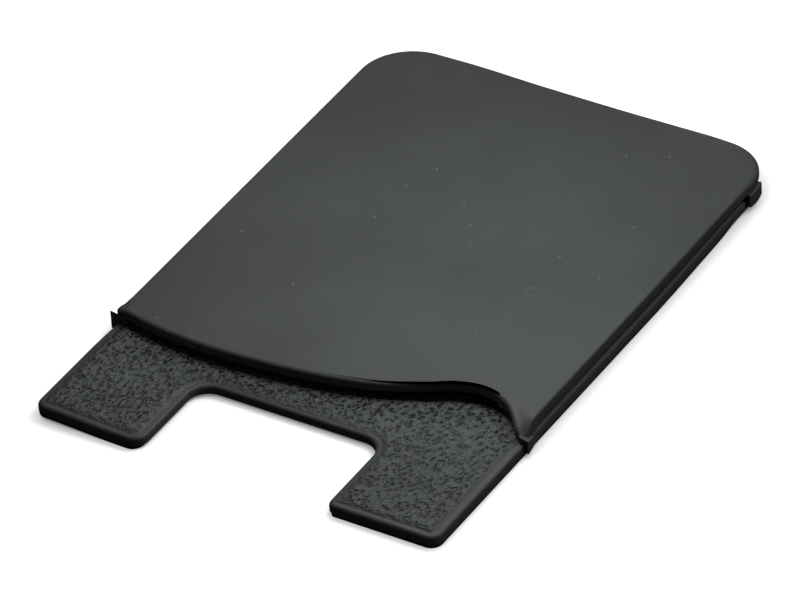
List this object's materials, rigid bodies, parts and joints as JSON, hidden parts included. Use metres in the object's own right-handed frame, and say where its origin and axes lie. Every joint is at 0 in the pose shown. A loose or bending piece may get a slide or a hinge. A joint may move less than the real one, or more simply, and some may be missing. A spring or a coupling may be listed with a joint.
{
  "type": "stick-on phone card holder",
  "caption": "Slim silicone card pocket with a wave-shaped lip, two tabs and a thumb notch, stuck to the back of a phone by an adhesive sheet.",
  "frame": {"origin": "middle of the adhesive's underside, which lies on the table or, in use, on the phone", "axes": "+Z away from the phone, +Y to the closed end of the pocket, +X to the side where the lip comes down to the back panel"},
  "size_m": [0.0592, 0.086, 0.0042],
  "materials": {
    "silicone": "matte charcoal silicone, smooth in front, leather-like grain on the tabs and in the mouth",
    "adhesive": "matte dark foam tape"
  },
  "bodies": {
    "root": {"holder": "silicone", "adhesive_pad": "adhesive"}
  },
  "joints": []
}
